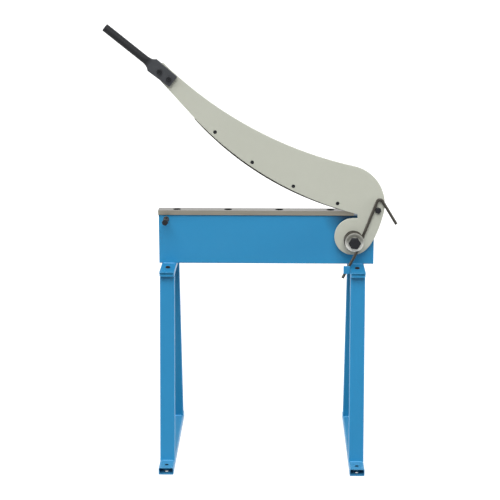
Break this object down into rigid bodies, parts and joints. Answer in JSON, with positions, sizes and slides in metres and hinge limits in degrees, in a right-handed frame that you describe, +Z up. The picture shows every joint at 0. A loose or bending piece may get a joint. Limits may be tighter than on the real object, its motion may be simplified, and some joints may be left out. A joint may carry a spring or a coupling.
{
  "type": "bench shear",
  "caption": "Hand-lever bench shear: a curved, spring-balanced arm with a blade pivots on a channel beam that carries the lower blade, on a stand of rectangular tube.",
  "frame": {"origin": "on the floor, in the middle of the footprint", "axes": "+Z up, +X along the blades from the handle's side to the pivot, +Y from the operator to the back"},
  "size_m": [0.9872, 0.564, 1.486],
  "materials": {
    "blue_paint": "semi-gloss",
    "grey_paint": "satin",
    "ground_steel": "ground",
    "black_oxide": "black oxide, oiled",
    "black_handle": "satin",
    "spring_steel": "dark, as drawn and tempered",
    "turned_steel": "turned",
    "bronze": "machined",
    "zinc_plate": "zinc plated"
  },
  "bodies": {
    "frame": {"left_foot_rail": "blue_paint", "left_front_post": "blue_paint", "left_rear_post": "blue_paint", "left_top_plate": "blue_paint", "left_machine_foot": "blue_paint", "left_front_stand_bolt": "black_oxide", "left_rear_stand_bolt": "black_oxide", "right_foot_rail": "blue_paint", "right_front_post": "blue_paint", "right_rear_post": "blue_paint", "right_top_plate": "blue_paint", "right_machine_foot": "blue_paint", "right_front_stand_bolt": "black_oxide", "right_rear_stand_bolt": "black_oxide", "beam": "blue_paint", "lower_blade": "ground_steel", "lower_blade_screw_1": "black_oxide", "lower_blade_screw_2": "black_oxide", "lower_blade_screw_3": "black_oxide", "lower_blade_screw_4": "black_oxide", "stop_bolt": "black_oxide", "stop_bolt_nut": "zinc_plate", "spring_bracket": "blue_paint", "pivot_boss": "blue_paint", "hub_spacer": "turned_steel", "pivot_sleeve": "turned_steel", "spring_retainer": "turned_steel", "pivot_bolt": "black_oxide", "pivot_washer": "zinc_plate", "pivot_nut": "zinc_plate", "torsion_spring": "spring_steel"},
    "arm": {"arm_plate": "grey_paint", "arm_bush": "bronze", "upper_blade": "ground_steel", "upper_blade_screw_1": "black_oxide", "upper_blade_screw_2": "black_oxide", "upper_blade_screw_3": "black_oxide", "upper_blade_screw_4": "black_oxide", "catch_bolt": "black_oxide", "catch_nut": "zinc_plate", "handle": "black_handle", "handle_screw_1": "black_oxide", "handle_screw_2": "black_oxide", "handle_nut_1": "zinc_plate", "handle_nut_2": "zinc_plate"}
  },
  "joints": [
    {"name": "arm_pivot", "type": "hinge", "parent": "frame", "child": "arm", "pos_m": [0.3465, -0.02, 0.7617], "axis": [0, 1, 0], "range_deg": [-29.8, 5], "stiffness_Nm_per_rad": 152, "springref_deg": 11.73, "deforming": ["torsion_spring"]}
  ]
}
